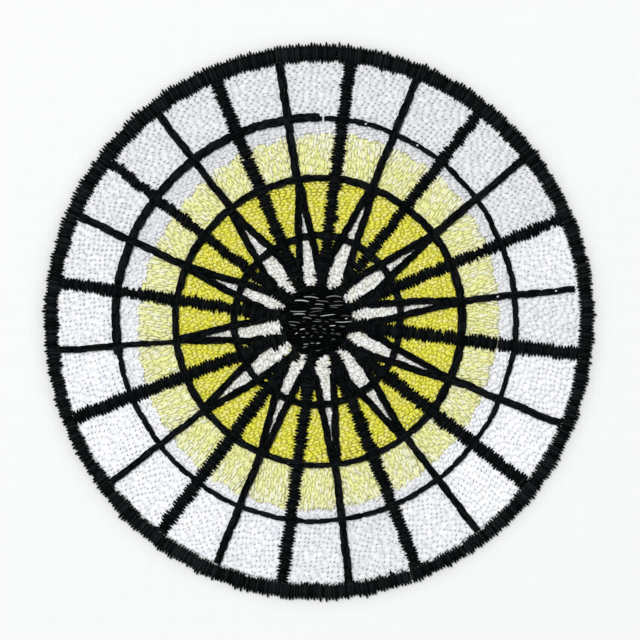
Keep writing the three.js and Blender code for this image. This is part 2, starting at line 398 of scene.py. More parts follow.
OUTER_WHITE_STYLE = FillStyle(
    0.85 * MM, relief=0.3, spread=1.12, lap=1.45, point=0.95, shade=0.985, level_painted_shade=0.2
)
INNER_WHITE_STYLE = FillStyle(0.72 * MM, relief=0.8, lap=1.2, shade=0.965, level_painted_shade=0.2)
PALE_YELLOW_STYLE = FillStyle(
    1.1 * MM, ragged=0.5 * MM, spread=0.9, shade=0.92, fading=0.45, fading_reach=(20.4 * MM, 21.8 * MM)
)
GOLD_STYLE = FillStyle(0.68 * MM, relief=1.25, shade=0.965, level_painted_shade=0.06)
RAY_STYLE = FillStyle(0.85 * MM, relief=1.1, shade=0.96)


def sew_fill(stitches, edges, lay, sector, rng, style):
    """Rows of stitches, each row's needle holes part of a stitch on from those of the row before."""
    # Painted shade: rows that lie level are darkened as if they caught less light.
    shade = style.shade * (1 - style.level_painted_shade * math.cos(lay) ** 2)
    sew_underlay(stitches, edges, lay, sector, shade)
    thread = settings()
    stitch = style.stitch
    rows = row_spans(edges, lay, thread.row * style.spread, sector)
    for number, (along, across, level, start, end) in enumerate(rows):
        phase = (number % 2) / 2 + rng.uniform(-HOLE_STRAY, HOLE_STRAY)
        holes = np.arange(math.floor(start / stitch) - 1, math.ceil(end / stitch) + 2) + phase
        holes = (holes + rng.uniform(-HOLE_STRAY, HOLE_STRAY, len(holes))) * stitch
        margin = HOLE_MARGIN * stitch
        holes = holes[(holes > start + margin) & (holes < end - margin)]
        first, last = rng.uniform(-style.ragged, style.ragged, 2)
        holes = np.concatenate([[start + first], holes, [end + last]])
        if holes[-1] - holes[0] < SHORTEST_ROW:
            continue
        drift = either_way(rng, ROW_DRIFT, len(holes))
        for a, b, drift_a, drift_b in zip(holes, holes[1:], drift, drift[1:]):
            reach = np.linalg.norm(along * (a + b) / 2 + across * level - WHEEL)
            tone = rng.uniform(0, 1) ** 2 + np.interp(reach, style.fading_reach, (0, style.fading))
            stitches.add(
                along * a + across * (level + drift_a),
                along * b + across * (level + drift_b),
                CLOTH_TOP + thread.thickness * FILL_LEVEL,
                rng.uniform(*FILL_RISES) * MM,
                thread.fill_width * style.spread * style.lap * rng.uniform(*FILL_WIDTHS),
                thread.thickness * style.relief,
                bow=either_way(rng, FILL_BOW),
                shade=shade * rng.uniform(*FILL_SHADES),
                tone=min(tone, 1),
            )


def spoke_lines():
    """All the spokes' lines in turn, anticlockwise from the first thin one."""
    lines = []
    for index in range(RAYS):
        lines.append(line_of(numbered("thin_spoke", index)))
        lines.append(line_of(numbered("thick_spoke", index)))
    return lines


# The lay of the rows in degrees, for each cell from the first thin spoke anticlockwise. No white row runs
# quite along a spoke. The pale yellow's and the rays' are tilts away from the cell's or the ray's direction.
WHITE_LAY = (
    45.5, 14.5, 2.5, 4.5, 6.5, 8.5, 10.5, 14.5, 20.5, 28.5, 40.5, 50.5,
    60.5, 66.5, 62.5, 58.5, 50.5, 40.5, 32.5, 48.5, 100.5, 112.5, 124.5, 150.5,
)
PALE_YELLOW_TILT = (
    8, -10, 12, -6, 10, -12, 6, -8, 14, -10, 8, -6, 12, -12, 6, -8, 10, -10, 14, -6, 8, -12, 10, -8,
)
GOLD_LAY = (28, 20, 12, 6, 2, 4, 8, 12, 18, 150, 160, 168, 172, 10, 22, 30, 24, 18, 20, 26, 34, 40, 36, 30)
RAY_TILT = (70, 62, 58, 40, 20, 24, 60, 66, 70, 64, 30, 36)

# Each band's thread, the lay of its rows, whether that is a tilt, and its style.
FILLS = {
    "outer_white_fill": ("white", WHITE_LAY, False, OUTER_WHITE_STYLE),
    "inner_white_fill": ("white", WHITE_LAY, False, INNER_WHITE_STYLE),
    "pale_yellow_fill": ("pale_yellow", PALE_YELLOW_TILT, True, PALE_YELLOW_STYLE),
    "gold_fill": ("gold", GOLD_LAY, False, GOLD_STYLE),
}


def each_cell():
    """Each cell between two neighbouring spokes: its number, its sector and the direction of its middle."""
    lines = spoke_lines()
    for number, line in enumerate(lines):
        following = lines[(number + 1) % len(lines)]
        middle = unit(unit(line[1] - WHEEL) + unit(following[1] - WHEEL))
        yield number, sector_between(line, following), math.atan2(middle[1], middle[0])


def finish_fill(node, colour, stitches, rng, style):
    """A fill's stitches as one piece in a thread of one colour."""
    piece = strand_piece(
        f"{node}_stitches", stitches, [coloured_thread(colour)], rng, rings=4, sides=5, point=style.point
    )
    return finish_piece(piece, f"{colour}_thread", node)


# Lines

# How near a ring a stitch starts to rise over it.
CROSSING_REACH = 0.45 * MM

# A running line: how many strands most have, how thick they are, how far they lap over each other and the
# narrowest they get, how long and how wide the line's drift is, how far needle holes keep from its ends,
# stray as a share of a stitch and shift in mm, the ranges of a stitch's length and width beside the usual
# ones, its bow in mm, and how much painted sheen lightens it.
RUNNING_STRANDS = 3
RUNNING_THICKNESS = 0.28 * MM
RUNNING_LAP = 1.35
RUNNING_NARROWEST = 0.36 * MM
RUNNING_DRIFT = (5 * MM, 0.05 * MM)
END_MARGIN = 0.4 * MM
RUNNING_STRAY = 0.2
RUNNING_SHIFT = 0.04
RUNNING_LENGTHS = (0.92, 1.08)
RUNNING_WIDTHS = (0.95, 1.1)
RUNNING_BOW = 0.05
RUNNING_PAINTED_SHEEN = 0.42

# A satin line: how thick its strands are, how long and how wide its drift is, how far a stitch strays along
# it as a share of a tooth, the ranges of a stitch's rise in mm and of its width beside the usual one, its
# bow in mm, and how much painted sheen lightens it.
SATIN_THICKNESS = 0.26 * MM
SATIN_DRIFT = (3 * MM, 0.06 * MM)
TOOTH_STRAY = 0.14
SATIN_RISES = (0.06, 0.12)
SATIN_WIDTHS = (0.88, 1.1)
SATIN_BOW = 0.03
SATIN_PAINTED_SHEEN = 0.65


def reach_to(edges, point, direction):
    """How far it is from a point, in a direction, to the nearest of some edges."""
    first, second = edges[:, 0] - point, edges[:, 1] - point
    beside, beyond = first @ sideways(direction), second @ sideways(direction)
    crossed = (beside < 0) != (beyond < 0)
    share = (beside[crossed] / (beside[crossed] - beyond[crossed]))[:, None]
    reach = (first[crossed] + share * (second[crossed] - first[crossed])) @ direction
    return reach[reach > 0].min() if (reach > 0).any() else math.inf


def straight_path(start, end):
    """A path's length and the function that gives the place at a distance along and across it."""
    along = unit(end - start)

    def place(distance, offset):
        return start + along * distance + sideways(along) * offset

    return np.linalg.norm(end - start), place


def at_angle(angle, table):
    """The value, in metres, of a table in mm whose entries stand at even steps round a circle."""
    turns = np.linspace(0, 2 * math.pi, len(table), endpoint=False)
    return np.interp(angle, turns, table, period=2 * math.pi) * MM


def round_path(centre, radius, first=0.0, last=360.0, strays=(0.0,)):
    """A round path between two angles in degrees, which strays outwards by a table round the circle."""
    start = math.radians(first)

    def place(distance, offset):
        angle = start + distance / radius
        reach = radius - offset + at_angle(angle, strays)
        return centre + reach * np.array([math.cos(angle), math.sin(angle)])

    return math.radians(last - first) * radius, place


def crossing_rise(point, rings):
    """How much a stitch at a point is lifted by the rings that run under it."""
    lift = 0.0
    for centre, inner, outer in rings:
        distance = np.linalg.norm(point - centre)
        beyond = max(inner - distance, distance - outer, 0)
        lift = max(lift, CROSSING_RISE * max(0.0, 1 - beyond / CROSSING_REACH))
    return lift


def wander(rng, wavelength, size):
    """A smooth random drift along a line, as a function of the distance."""
    lengths = wavelength * rng.uniform(0.6, 1.8, 4)
    phases = rng.uniform(0, 2 * math.pi, 4)
    return lambda distance: size / 2 * np.sin(2 * math.pi * distance / lengths + phases).sum()


def sew_running(stitches, path, width_at, strands, rng, rings=(), overrun=0.0, gleam=1.0):
    """A running line of strands side by side, sewn over and over so that their holes don't line up."""
    thread = settings()
    length, place = path
    drift_of = wander(rng, *RUNNING_DRIFT)
    for number in range(strands):
        side = number / max(strands - 1, 1) - 0.5
        holes = np.arange(-overrun, length, thread.running_stitch * rng.uniform(*RUNNING_LENGTHS))
        holes += (number / strands) * thread.running_stitch
        holes += rng.uniform(-RUNNING_STRAY, RUNNING_STRAY, len(holes)) * thread.running_stitch
        holes = holes[(holes > END_MARGIN) & (holes < length - END_MARGIN)]
        holes = np.concatenate([[-overrun], holes, [length + overrun]])
        for a, b in zip(holes, holes[1:]):
            width = width_at((a + b) / 2)
            strand_width = max(width / strands * RUNNING_LAP, RUNNING_NARROWEST)
            offset = side * (width - strand_width)
            shift = either_way(rng, RUNNING_SHIFT, 2)
            start = place(a, offset + drift_of(a) + shift[0])
            end = place(b, offset + drift_of(b) + shift[1])
            lift = crossing_rise((start + end) / 2, rings)
            stitches.add(
                start,
                end,
                LINE_CENTRE + lift * 0.6,
                0.03 * MM + lift * 0.3,
                strand_width * rng.uniform(*RUNNING_WIDTHS),
                RUNNING_THICKNESS,
                bow=either_way(rng, RUNNING_BOW),
                # Painted sheen: a random share of the lighter black.
                tone=rng.uniform(0, RUNNING_PAINTED_SHEEN) * gleam,
            )


class SatinStyle(typing.NamedTuple):
    """A satin line's share of stitches left out, how far its needle holes stray, how wide its strands are
    as a share of the thread, how far its underlay keeps in from the edges, to what share its strands narrow
    at their ends, and how much painted sheen lightens its thread."""

    slits: float
    stray: float
    strand: float
    inset: float
    point: float
    gleam: float = 1.0


SPOKE_SATIN = SatinStyle(
    slits=0.01, stray=0.085 * MM, strand=0.88, inset=0.56 * MM, point=0.3, gleam=0.6
)
BORDER_SATIN = SatinStyle(slits=0.006, stray=0.105 * MM, strand=0.95, inset=0.54 * MM, point=0.35)

# The underlay of a satin line, which has no stitch across a gap longer than the last of these.
SATIN_UNDERLAY_STRANDS = 4
SATIN_UNDERLAY_STITCH = 1.1 * MM
SATIN_UNDERLAY_WIDTH = 0.42 * MM
SATIN_UNDERLAY_THICKNESS = 0.2 * MM
SATIN_UNDERLAY_LONGEST = 2 * MM


def sew_satin_underlay(stitches, path, left, right, rings, inset):
    """Strands along a satin line, below it, which keep the ground dark between its teeth."""
    length, place = path
    for number in range(SATIN_UNDERLAY_STRANDS):
        share = number / (SATIN_UNDERLAY_STRANDS - 1)
        count = max(2, round(length / SATIN_UNDERLAY_STITCH) + 1)
        holes = np.linspace(0.1 * MM, length - 0.1 * MM, count)
        ends = []
        for hole in holes:
            high, low = left(hole) - inset, right(hole) + inset
            ends.append(place(hole, high + (low - high) * share))
        for start, end in zip(ends, ends[1:]):
            if np.linalg.norm(end - start) < SATIN_UNDERLAY_LONGEST:
                height = LINE_CENTRE - 0.1 * MM + crossing_rise((start + end) / 2, rings) * 0.6
                size = SATIN_UNDERLAY_WIDTH, SATIN_UNDERLAY_THICKNESS
                stitches.add(start, end, height, 0.02 * MM, *size)


def sew_satin(stitches, path, rng, left, right, rings, style):
    """A satin line: one thread to and fro across the path, so that the needle holes make teeth.

    Its edges wander a little, and here and there a stitch is missing and leaves a slit.
    """
    sew_satin_underlay(stitches, path, left, right, rings, style.inset)
    thread = settings()
    length, place = path
    count = round(length / thread.satin_tooth)
    tooth = length / count
    drifts = [wander(rng, *SATIN_DRIFT) for _ in range(2)]
    hole = place(0, left(0))
    missing = 0
    for number in range(2 * count):
        distance = (number / 2 + 0.5 + rng.uniform(-TOOTH_STRAY, TOOTH_STRAY)) * tooth
        outwards = 1 if number % 2 else -1
        edge = left(distance) if number % 2 else right(distance)
        reach = edge + outwards * (drifts[number % 2](distance) + rng.normal(0, style.stray))
        start, hole = hole, place(distance, reach)
        missing = 2 if rng.random() < style.slits else missing - 1
        if missing > 0:
            continue
        lift = crossing_rise((start + hole) / 2, rings)
        stitches.add(
            start,
            hole,
            LINE_CENTRE - 0.04 * MM + lift * 0.8,
            rng.uniform(*SATIN_RISES) * MM,
            thread.width * style.strand * rng.uniform(*SATIN_WIDTHS),
            SATIN_THICKNESS,
            bow=either_way(rng, SATIN_BOW),
            # Painted sheen: a random share of the lighter black.
            tone=rng.uniform(0, 1) ** 2 * SATIN_PAINTED_SHEEN * style.gleam,
        )


def add_loop(stitches, place, distance):
    """A small loop of bobbin thread on a line."""
    stitches.add(
        place(distance, -0.05 * MM),
        place(distance + 0.24 * MM, 0.08 * MM),
        LINE_CENTRE + 0.2 * MM,
        0.04 * MM,
        0.2 * MM,
        0.14 * MM,
        bobbin=1,
    )


def ring_circles(*names):
    return [circle_of(name) for name in names]


# How far the hub's stitches lap over what meets it, how its rows lie, how much higher its middle is, and how
# dark its strands are beside the other black ones. Bobbin thread shows in a share of places and is of a
# range of shades, first below and then above its middle.
HUB_LAP = 0.45 * MM
HUB_ROW = 0.42 * MM
HUB_STITCH = 2.2 * MM
HUB_DOME = 0.08 * MM
HUB_SHADE = 0.6
BOBBIN_SHARES = (0.62, 0.75)
BOBBIN_SHADES = ((0.1, 0.85), (0.15, 0.97))

# The star's line is narrow next to the hub, where the satin laps over it.
STAR_LINE_REACH = (5.2 * MM, 7.2 * MM)
STAR_LINE_WIDTHS = (0.36 * MM, 0.95 * MM)
# How much painted sheen lightens the star's line.
STAR_PAINTED_SHEEN = 0.6

# The widths of the spokes in mm, from the first one anticlockwise, which come out a little uneven. The
# thin ones have a width at the inner end and one at the outer end.
THIN_SPOKE_WIDTHS = (
    (0.9, 0.88), (1.04, 1.01), (1.0, 1.03), (1.08, 1.09), (0.98, 1.03), (1.02, 1.02),
    (0.6, 0.98), (0.87, 0.87), (1.0, 1.01), (1.01, 1.04), (0.94, 0.97), (1.05, 1.0),
)
THICK_SPOKE_WIDTHS = (1.58, 1.5, 1.61, 1.63, 1.38, 1.52, 1.73, 1.73, 1.62, 1.65, 1.75, 1.79)

# How far the lines of the spokes start inside their solids, under the hub.
THIN_SPOKE_LAP = 0.5 * MM
THICK_SPOKE_LAP = 0.4 * MM

# Within this reach of the hub the thick spokes fan out, up to this much on each side and no nearer than the
# clearance to the axis of the ray beside them. Next to the hub their teeth lap over the rays' outlines, by
# this much in mm for each ray.
FAN_REACH = 8 * MM
FAN_MOST = 2.2 * MM
FAN_LAPS = (0.56, 0.56, 0.56, 0.56, 0.56, 0.56, 0.5, 0.36, 0.4, 0.26, 0.5, 0.56)
FAN_LAP_REACH = (6 * MM, 7.2 * MM)
FAN_STRAY = 0.12 * MM
FAN_CLEARANCE = 0.16 * MM

# How far the rings' lines stray outwards in mm, every 15 degrees, and how wide two of them are, every 30.
INNER_RING_STRAYS = (
    -0.2, 0.0, -0.05, 0.0, 0.08, 0.22, 0.22, 0.08, 0.0, 0.0, 0.0, 0.0,
    0.0, 0.0, 0.0, 0.0, 0.0, 0.0, 0.0, 0.0, -0.08, -0.08, -0.1, -0.25,
)
MIDDLE_RING_WIDTHS = (1.17, 1.05, 0.95, 0.96, 0.95, 1.04, 0.87, 0.96, 0.94, 0.72, 0.83, 1.05)
MIDDLE_RING_STRAYS = (
    -0.1, -0.02, 0.04, 0.02, -0.1, 0.06, 0.06, 0.0, 0.0, 0.0, 0.0, 0.0,
    0.0, 0.0, 0.0, 0.0, -0.07, -0.07, -0.04, -0.1, -0.12, -0.06, -0.08, -0.13,
)
OUTER_RING_WIDTHS = (0.81, 0.77, 0.67, 0.7, 0.7, 0.7, 0.71, 0.78, 0.69, 0.62, 0.69, 0.69)
OUTER_RING_STRAYS = (
    -0.17, -0.23, -0.2, -0.03, -0.02, 0.01, 0.02, 0.01, -0.02, -0.07, -0.08, -0.08,
    -0.13, -0.21, -0.23, -0.13, -0.02, 0.01, 0.02, -0.05, -0.08, -0.09, -0.17, -0.23,
)

# The outer ring starts and ends at one angle, and is sewn once more on one arc.
OUTER_RING_START = 88
OUTER_RING_THICK_ARC = (89, 190)
OUTER_RING_THICK_WIDTH = 1.13 * MM

# The inner ring's line is this much wider than its solid, in mm.
INNER_RING_EXTRA = 0.08

# How far the border's satin laps over the fill and keeps in from the solid's edge, and how far its inner
# and outer edges stray outwards, in mm, every 15 degrees.
BORDER_LAP = 0.22 * MM
BORDER_INSET = 0.01 * MM
BORDER_INNER_STRAY = (
    -0.06, 0.04, -0.02, -0.14, -0.04, -0.08, -0.12, -0.12, -0.08, -0.08, -0.02, -0.04,
    -0.04, 0.08, 0.17, 0.1, 0.2, 0.11, 0.05, 0.04, 0.16, 0.02, 0.02, 0.0,
)
BORDER_OUTER_STRAY = (
    -0.12, -0.02, -0.12, -0.1, -0.07, -0.12, -0.04, -0.06, 0.05, 0.0, 0.0, -0.08,
    -0.08, -0.18, -0.14, -0.01, -0.05, -0.02, -0.14, -0.2, -0.24, -0.02, 0.0, -0.18,
)


class RingStyle(typing.NamedTuple):
    """How far a ring strays, its widths, if not its solid's, its number of strands, the angle where it
    starts and how far its ends run over each other."""

    strays: tuple
    widths: tuple = ()
    strands: int = RUNNING_STRANDS
    start: float = 0.0
    overrun: float = 0.2 * MM


RING_STYLES = {
    "inner_ring": RingStyle(INNER_RING_STRAYS),
    "middle_ring": RingStyle(MIDDLE_RING_STRAYS, MIDDLE_RING_WIDTHS),
    "outer_ring": RingStyle(OUTER_RING_STRAYS, OUTER_RING_WIDTHS, 2, OUTER_RING_START, -0.12 * MM),
}

# Single bobbin loops drawn up between the black stitches, as angles on the outer ring and as distances in
# mm along a thin spoke.
OUTER_RING_LOOPS = (59.5, 75.4)
THIN_SPOKE_LOOPS = {0: (21.8, 28.8)}


# The rays' outlines, as distances in mm from the ray's axis at three distances from the hub: at the root,
# at the shoulders and near the tip. First the anticlockwise side, then the clockwise one.
RAY_PLACES = (4.9, 7.9, 16.3)
RAY_ROOTS = (
    (1.07, 1.02), (1.07, 1.08), (1.03, 1.37), (1.15, 1.08), (1.15, 0.68), (0.96, 1.09),
    (1.1, 1.17), (1.16, 1.25), (0.96, 1.08), (1.32, 1.15), (1.22, 0.44), (1.28, 0.91),
)
RAY_SHOULDERS = (
    (1.05, 0.97), (1.19, 1.35), (1.36, 1.08), (0.96, 1.05), (1.54, 1.23), (1.09, 0.96),
    (1.18, 1.05), (1.32, 1.43), (0.81, 1.31), (1.04, 0.87), (1.31, 1.28), (1.12, 1.06),
)
RAY_ENDS = (
    (0.2, 0.27), (0.19, 0.23), (0.26, 0.35), (-0.03, 0.27), (0.32, -0.04), (0.25, 0.06),
    (-0.07, 0.26), (0.26, 0.37), (0.32, 0.24), (0.31, 0.34), (0.07, 0.45), (0.13, 0.31),
)

# How far from the hub's centre each ray starts, and how far its outline stands off its axis there, in mm.
RAY_STARTS = (
    (4.5, 0.75), (4.2, 0.5), (4.55, 1.05), (4.2, 0.94), (4.5, 0.57), (4.55, 0.57),
    (4.2, 1.17), (3.95, 0.92), (4.0, 0.8), (4.0, 1.1), (4.45, 0.57), (4.26, 0.57),
)


def ray_axis(index):
    """A ray's direction from the hub, and how far along it the middle ring covers its tip."""
    reach = node_points(numbered("ray_fill", index))[:, :2] - HUB
    along = unit(reach[np.argmax(np.linalg.norm(reach, axis=1))])
    centre, inner, _ = circle_of("middle_ring")
    aside = (HUB - centre) @ sideways(along)
    return along, math.sqrt(inner**2 - aside**2) - (HUB - centre) @ along + 0.3 * MM


def ray_sides(index):
    """The places along a ray's outline on each side, from the hub to the tip."""
    along, tip_reach = ray_axis(index)
    sides = []
    for side, sign in enumerate((1, -1)):
        across = [table[index][side] for table in (RAY_ROOTS, RAY_SHOULDERS, RAY_ENDS)]
        slope = (across[2] - across[1]) / (RAY_PLACES[2] - RAY_PLACES[1])
        far = across[2] + slope * (tip_reach / MM - RAY_PLACES[2])
        start, half = RAY_STARTS[index]
        places = zip((start, *RAY_PLACES, tip_reach / MM), (half, *across, far))
        sides.append([HUB + (along * d + sideways(along) * sign * a) * MM for d, a in places])
    return sides


def ray_edges(index):
    """The edges round a ray, as pairs of points in the plane."""
    left, right = ray_sides(index)
    round_trip = np.array(left + right[::-1])
    return np.stack([round_trip, np.roll(round_trip, -1, axis=0)], axis=1)


# Materials

# Each thread's material, how much it gleams, how dark the painted shade in the groove between its plies is,
# and how much painted shade darkens it towards the needle holes: the gold and the cream look deep, the
# whites nearly even, and the black lines keep only a faint sheen. The bobbin thread shows as small light
# dashes.
THREADS = {
    "white": ("white_polyester_thread_twisted", 0.3, 0.03, 0.02),
    "pale_yellow": ("pale_yellow_polyester_thread_twisted", 0.4, 0.1, 0.2),
    "gold": ("gold_polyester_thread_twisted", 0.4, 0.15, 0.36),
    "cream": ("cream_polyester_thread_twisted", 0.4, 0.1, 0.3),
    "black": ("black_polyester_thread_twisted", 0.02, 0.3, 0.3),
    "bobbin": ("white_bobbin_thread_twisted", 0.3, 0.1, 0.3),
}
THREAD_ROUGHNESS = 0.45
PLY_RELIEF = 0.03 * MM


def add_node(nodes, kind, inputs, output=0, **choices):
    """The output of a new node, whose inputs each take a value or another node's output."""
    node = nodes.new(f"ShaderNode{kind}")
    for name, value in choices.items():
        setattr(node, name, value)
    for name, value in inputs.items() if isinstance(inputs, dict) else enumerate(inputs):
        if isinstance(value, bpy.types.NodeSocket):
            node.id_data.links.new(value, node.inputs[name])
        else:
            node.inputs[name].default_value = value
    return node.outputs[output]


def plain_material(name):
    material = bpy.data.materials.new(name)
    material.use_nodes = True
    nodes = material.node_tree.nodes
    return material, nodes, nodes["Principled BSDF"]


def finish_surface(shader, colour, normal, roughness, specular):
    """Links a surface to its colour and its relief, and sets how rough it is and how much it gleams."""
    links = shader.id_data.links
    links.new(colour, shader.inputs["Base Color"])
    links.new(normal, shader.inputs["Normal"])
    shader.inputs["Roughness"].default_value = roughness
    shader.inputs["Specular IOR Level"].default_value = specular


def thread_material(name, colour, other, gleam, painted_groove_shade, depth):
    """Twisted two-ply polyester thread: smooth lustrous plies with painted shade in the groove that winds
    round between them, which gives the eye the fine grain along each strand. Painted shade darkens it
    towards the needle holes."""
    material, nodes, shader = plain_material(name)
    along, around, shade, tone, arch = (
        add_node(nodes, "Attribute", (), "Fac", attribute_name=fact)
        for fact in ("along", "around", "shade", "tone", "arch")
    )
    winding = 4 * math.pi / settings().ply_turn
    turn = add_node(nodes, "Math", (along, winding, around), operation="MULTIPLY_ADD")
    twist = add_node(nodes, "Math", (turn,), operation="SINE")
    ply = add_node(nodes, "Math", (twist, 0.5, 0.5), operation="MULTIPLY_ADD")
    # Painted shade in the groove between the plies.
    light = add_node(nodes, "Math", (ply, painted_groove_shade, 1 - painted_groove_shade), operation="MULTIPLY_ADD")
    # Painted shade towards the needle holes, where the strand sinks in.
    painted_hole_shade = add_node(nodes, "Math", (arch, depth, 1 - depth), operation="MULTIPLY_ADD")
    light = add_node(nodes, "Math", (light, painted_hole_shade), operation="MULTIPLY")
    light = add_node(nodes, "Math", (light, shade), operation="MULTIPLY")
    # The second colour: a random tone on the fills, and painted sheen on the black thread.
    tones = {"Factor": tone, "A": (*colour, 1), "B": (*other, 1)}
    mixed = add_node(nodes, "Mix", tones, 2, data_type="RGBA")
    tint = add_node(nodes, "VectorMath", {"Vector": mixed, "Scale": light}, operation="SCALE")
    relief = add_node(nodes, "Bump", {"Height": ply, "Strength": 0.5, "Distance": PLY_RELIEF})
    finish_surface(shader, tint, relief, THREAD_ROUGHNESS, gleam)
    return material


def coloured_thread(colour):
    """The material of one thread, made once. Its second colour is the first where none is given."""
    name, *finish = THREADS[colour]
    first = getattr(colours(), colour)
    second = getattr(colours(), f"{colour}_other", first)
    return bpy.data.materials.get(name) or thread_material(name, first, second, *finish)


# How far from the border painted shade darkens the cloth, and how dark that painted shade is. The slubs of
# the yarn are patches of this length, and the weave stands this high.
BORDER_SHADE_REACH = 2.6 * MM
BORDER_SHADE_DEPTH = 0.11
SLUB_LENGTH = 1.6 * MM
WEAVE_RELIEF = 0.05 * MM
COTTON_ROUGHNESS = 0.92
COTTON_GLEAM = 0.2


def cotton_material():
    """Bleached cotton in plain weave: matt, with a faint painted shadow between its threads, and painted
    shade that darkens it next to the border."""
    material, nodes, shader = plain_material("plain_woven_bleached_cotton")
    place = add_node(nodes, "TexCoord", (), "Object")
    waves = []
    for axis in "XY":
        reach = add_node(nodes, "SeparateXYZ", (place,), axis)
        spacing = bpy.context.scene.embroidery_cloth.thread_spacing
        turn = add_node(nodes, "Math", (reach, math.pi / spacing), operation="MULTIPLY")
        wave = add_node(nodes, "Math", (turn,), operation="SINE")
        waves.append(add_node(nodes, "Math", (wave,), operation="ABSOLUTE"))
    weave = add_node(nodes, "Math", waves, operation="MULTIPLY")
    slub = add_node(nodes, "TexNoise", {"Vector": place, "Scale": 1 / SLUB_LENGTH, "Detail": 4.0}, "Fac")
    low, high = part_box("border")
    edge = (high.x - low.x + high.y - low.y) / 4
    reach = add_node(nodes, "VectorMath", (place, (*WHEEL, CLOTH_TOP)), "Value", operation="DISTANCE")
    span = {"Value": reach, "From Min": edge, "From Max": edge + BORDER_SHADE_REACH, "To Min": 1.0, "To Max": 0.0}
    near = add_node(nodes, "MapRange", span)
    # Painted shade: the cloth is darkened in a band next to the border.
    painted_border_shade = add_node(nodes, "Math", (near, 3.0), operation="POWER")
    light = add_node(nodes, "Math", (weave, 0.05, 0.95), operation="MULTIPLY_ADD")
    light = add_node(nodes, "Math", (painted_border_shade, -BORDER_SHADE_DEPTH, light), operation="MULTIPLY_ADD")
    patch = add_node(nodes, "Math", (slub, 0.04, 0.98), operation="MULTIPLY_ADD")
    light = add_node(nodes, "Math", (light, patch), operation="MULTIPLY")
    tones = {"Factor": 1.0, "A": (*colours().cotton, 1), "B": light}
    tint = add_node(nodes, "Mix", tones, 2, data_type="RGBA", blend_type="MULTIPLY")
    relief = add_node(nodes, "Bump", {"Height": weave, "Strength": 0.35, "Distance": WEAVE_RELIEF})
    finish_surface(shader, tint, relief, COTTON_ROUGHNESS, COTTON_GLEAM)
    return material


# Operators

# The cloth lies this far under the top of its solid and swells this much, in this many waves of these
# lengths in mm.
CLOTH_DROP = 0.03 * MM
SWELL_HEIGHT = 0.004 * MM
SWELLS = 10
SWELL_LENGTHS = (9, 26)


class EMBROIDERY_OT_ground_cloth(bpy.types.Operator):
    """Add the woven cotton ground."""

    bl_idname = "embroidery.ground_cloth"
    bl_label = "Ground cloth"

    def execute(self, context):
        low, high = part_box("ground_cloth")
        count = context.scene.embroidery_cloth.grid
        side = np.linspace(0, 1, count + 1)
        x, y = np.meshgrid(low.x + (high.x - low.x) * side, low.y + (high.y - low.y) * side, indexing="ij")
        rng = np.random.default_rng(SEED)
        waves = np.zeros_like(x)
        for _ in range(SWELLS):
            direction = rng.normal(0, 1, 2)
            direction *= 2 * math.pi / (rng.uniform(*SWELL_LENGTHS) * MM) / np.linalg.norm(direction)
            waves += np.sin(direction[0] * x + direction[1] * y + rng.uniform(0, 2 * math.pi))
        level = high.z - CLOTH_DROP + waves * SWELL_HEIGHT
        top = np.stack([x, y, level], axis=2).reshape(-1, 3)
        under = np.stack([x, y, np.full_like(x, low.z)], axis=2).reshape(-1, 3)
        index = np.arange((count + 1) ** 2).reshape(count + 1, count + 1)
        corners = (index[:-1, :-1], index[1:, :-1], index[1:, 1:], index[:-1, 1:])
        quads = np.stack(corners, axis=2).reshape(-1, 4)
        ring = np.concatenate([index[:-1, 0], index[-1, :-1], index[:0:-1, -1], index[0, :0:-1]])
        after = np.roll(ring, -1)
        shift = (count + 1) ** 2
        walls = np.stack([ring + shift, after + shift, after, ring], axis=1)
        mesh = bpy.data.meshes.new("woven_cotton_ground")
        faces = quads.tolist() + (quads[:, ::-1] + shift).tolist() + walls.tolist()
        mesh.from_pydata(np.concatenate([top, under]).tolist(), [], faces)
        mesh.materials.append(cotton_material())
        cloth = bpy.data.objects.new("woven_cotton_ground", mesh)
        context.scene.collection.objects.link(cloth)
        finish_piece(cloth, "cotton_cloth", "ground_cloth")
        return {"FINISHED"}


class EMBROIDERY_OT_fills(bpy.types.Operator):
    """Add the fills of the white, pale yellow and gold bands, each sewn cell by cell."""

    bl_idname = "embroidery.fills"
    bl_label = "Fills"

    def execute(self, context):
        for number, (node, (colour, lays, tilted, style)) in enumerate(FILLS.items()):
            rng, stitches = begin(1 + number)
            edges = underside_edges(node)
            for cell, sector, middle in each_cell():
                lay = math.radians(lays[cell]) + (middle if tilted else 0)
                sew_fill(stitches, edges, lay, sector, rng, style)
            finish_fill(node, colour, stitches, rng, style)
        return {"FINISHED"}


class EMBROIDERY_OT_ray_fills(bpy.types.Operator):
    """Add the cream fill of each ray of the star."""

    bl_idname = "embroidery.ray_fills"
    bl_label = "Ray fills"

    def execute(self, context):
        for index, tilt in enumerate(RAY_TILT):
            rng, stitches = begin(20 + index)
            along, _ = ray_axis(index)
            lay = math.atan2(along[1], along[0]) + math.radians(tilt)
            sew_fill(stitches, ray_edges(index), lay, [], rng, RAY_STYLE)
            finish_fill(numbered("ray_fill", index), "cream", stitches, rng, RAY_STYLE)
        return {"FINISHED"}


def black_piece(node, kind, stitches, rng, **shape):
    """A line's stitches as one piece in black thread, with the bobbin thread for those drawn up."""
    materials = [coloured_thread("black"), coloured_thread("bobbin")]
    piece = strand_piece(f"{node}_{kind}", stitches, materials, rng, **shape)
    return finish_piece(piece, "black_thread", node)


